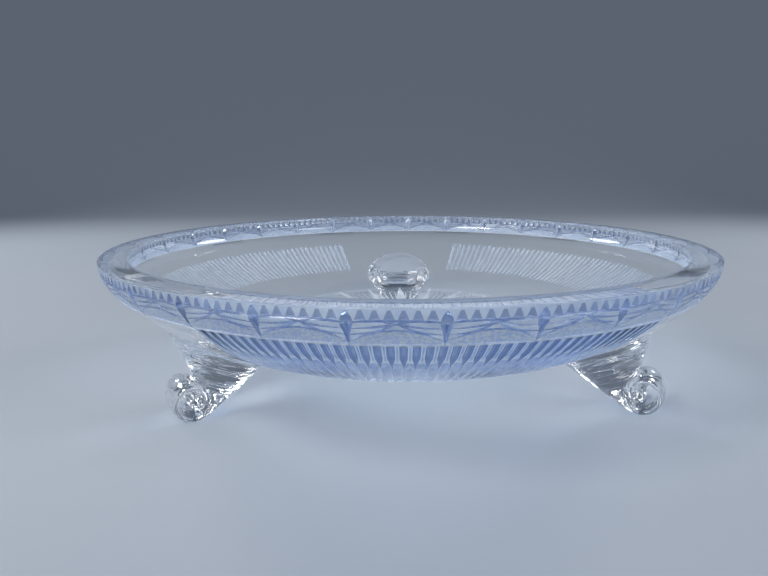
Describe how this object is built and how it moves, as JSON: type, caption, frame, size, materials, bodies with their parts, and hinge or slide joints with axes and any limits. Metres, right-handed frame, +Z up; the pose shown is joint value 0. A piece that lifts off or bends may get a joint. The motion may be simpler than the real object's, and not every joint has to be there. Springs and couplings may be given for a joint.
{
  "type": "footed crystal bowl",
  "caption": "Wide shallow cut crystal bowl with a thick flat rim, a band of mitre cuts, fluted panels and a star under the base, standing on applied scroll feet.",
  "frame": {"origin": "on the table under the centre of the bowl", "axes": "+Z up through the bowl's axis; -Y towards the viewer of the picture; one foot stands on +Y"},
  "size_m": [0.305, 0.305, 0.074],
  "materials": {
    "cut_crystal": "clear lead crystal, polished, with cut grooves",
    "clear_crystal": "clear lead crystal, fire polished"
  },
  "bodies": {
    "root": {"bowl": "cut_crystal", "foot_rear": "clear_crystal", "foot_front_left": "clear_crystal", "foot_front_right": "clear_crystal"}
  },
  "joints": []
}
